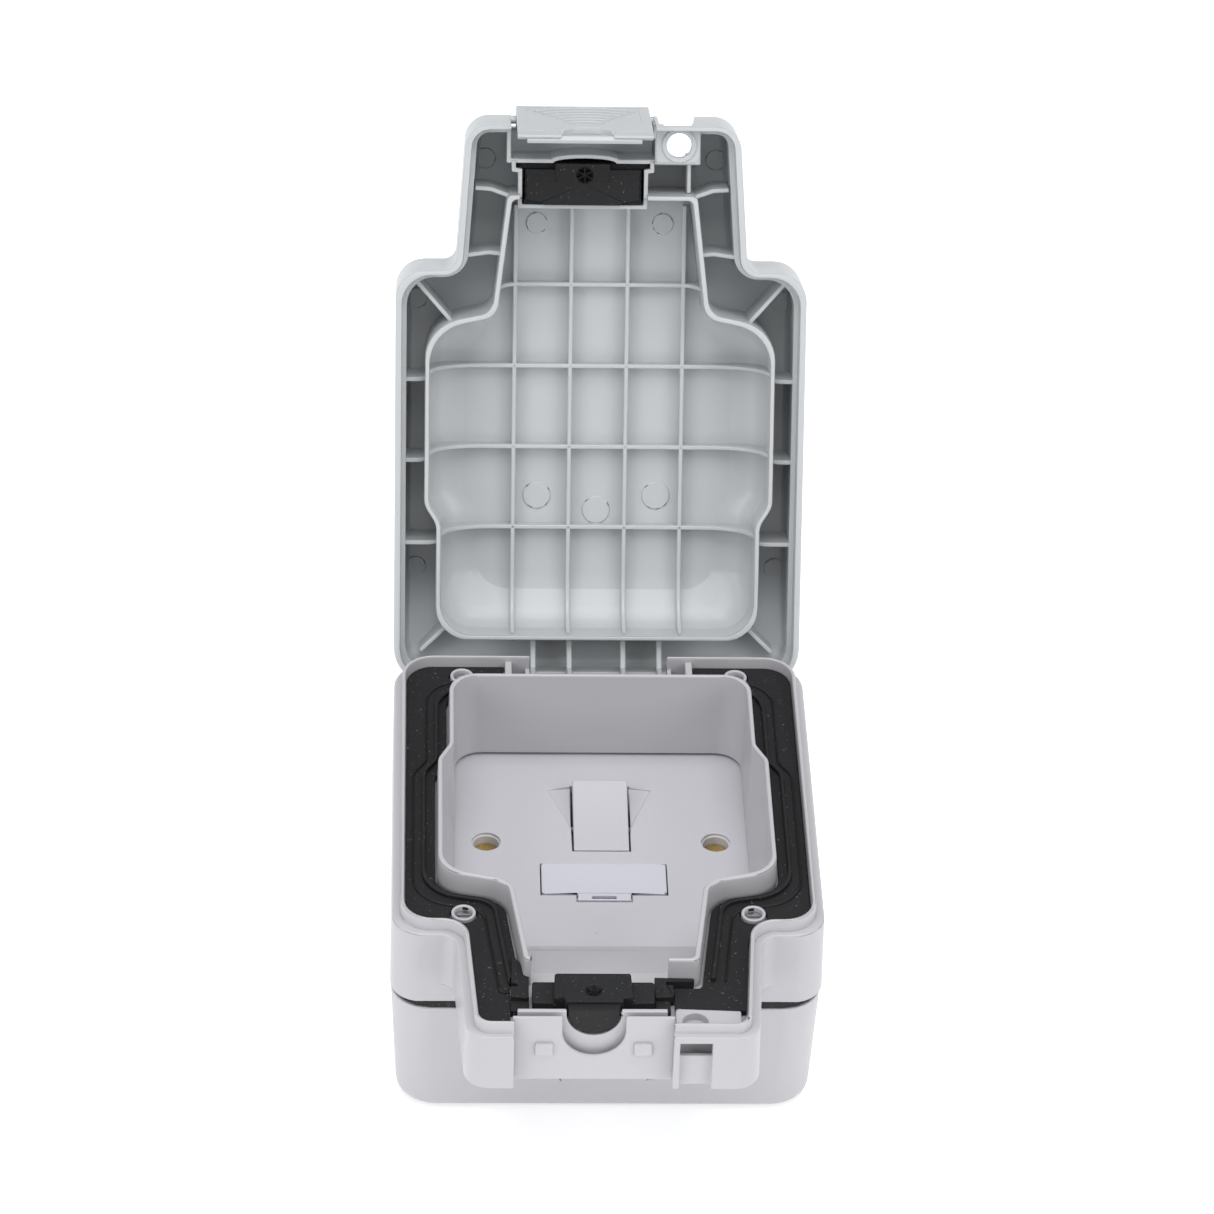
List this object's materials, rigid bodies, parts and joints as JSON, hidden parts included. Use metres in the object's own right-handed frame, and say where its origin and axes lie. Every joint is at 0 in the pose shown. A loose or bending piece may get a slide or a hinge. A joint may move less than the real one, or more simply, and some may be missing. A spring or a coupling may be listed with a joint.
{
  "type": "ac disconnect box",
  "caption": "Weatherproof square switch box with a sealed hinged lid, a latch clip over a necked cable entry, a rocker switch and a pull-out fuse carrier.",
  "frame": {"origin": "centre of the back face, which meets the wall", "axes": "+X across the box, +Y from the latch to the hinge, +Z out from the wall"},
  "size_m": [0.1098, 0.2404, 0.1922],
  "materials": {
    "base_plastic": "fine matt moulded surface",
    "lid_plastic": "fine matt moulded surface",
    "plate_plastic": "satin",
    "carrier_plastic": "satin",
    "module_plastic": "matt",
    "rubber": "matt, slightly dusty",
    "brass": "machined",
    "steel": "zinc plated",
    "ceramic": "glazed"
  },
  "bodies": {
    "base": {"back_box": "base_plastic", "box_gasket": "rubber", "front_frame": "base_plastic", "face_gasket": "rubber", "cable_seal": "rubber", "seal_corner_left": "rubber", "seal_corner_right": "rubber", "accessory_plate": "plate_plastic", "module_body": "module_plastic", "rocker_pin": "steel", "fixed_contact_near": "brass", "fixed_contact_far": "brass", "fuse_clip_left": "brass", "fuse_clip_right": "brass", "hinge_pin_left": "steel", "hinge_pin_right": "steel", "plate_insert_left": "brass", "plate_insert_right": "brass", "plate_screw_left": "brass", "plate_screw_right": "brass", "frame_insert_near_left": "brass", "frame_screw_near_left": "steel", "frame_insert_near_right": "brass", "frame_screw_near_right": "steel", "frame_insert_far_left": "brass", "frame_screw_far_left": "steel", "frame_insert_far_right": "brass", "frame_screw_far_right": "steel", "terminal_supply_live": "brass", "terminal_supply_live_screw": "steel", "terminal_supply_neutral": "brass", "terminal_supply_neutral_screw": "steel", "terminal_earth": "brass", "terminal_earth_screw": "steel", "terminal_load_neutral": "brass", "terminal_load_neutral_screw": "steel", "terminal_load_live": "brass", "terminal_load_live_screw": "steel"},
    "lid": {"lid": "lid_plastic", "lid_seal_block": "rubber", "latch_pin": "steel"},
    "latch": {"latch_clip": "lid_plastic"},
    "rocker": {"rocker_switch": "plate_plastic"},
    "contact": {"moving_contact": "brass"},
    "fuse": {"fuse_carrier": "carrier_plastic", "fuse_body": "ceramic", "fuse_cap_left": "steel", "fuse_cap_right": "steel"}
  },
  "joints": [
    {"name": "lid_hinge", "type": "hinge", "parent": "base", "child": "lid", "pos_m": [0, 0.0551, 0.053], "axis": [1, 0, 0], "range_deg": [0, 114.4]},
    {"name": "latch_hinge", "type": "hinge", "parent": "lid", "child": "latch", "pos_m": [0, 0.14016, 0.17902], "axis": [-1, 0, 0], "range_deg": [0, 80]},
    {"name": "rocker_hinge", "type": "hinge", "parent": "base", "child": "rocker", "pos_m": [0, 0.0141, 0.0368], "axis": [-1, 0, 0], "range_deg": [0, 19]},
    {"name": "contact_rock", "type": "hinge", "parent": "base", "child": "contact", "pos_m": [0, 0.0141, 0.0288], "axis": [1, 0, 0], "range_deg": [0, 19]},
    {"name": "fuse_slide", "type": "slide", "parent": "base", "child": "fuse", "axis": [0, 0, 1], "range_m": [0, 0.022]}
  ],
  "couplings": [
    {"joint": "contact_rock", "follows": "rocker_hinge", "ratio": 1}
  ]
}
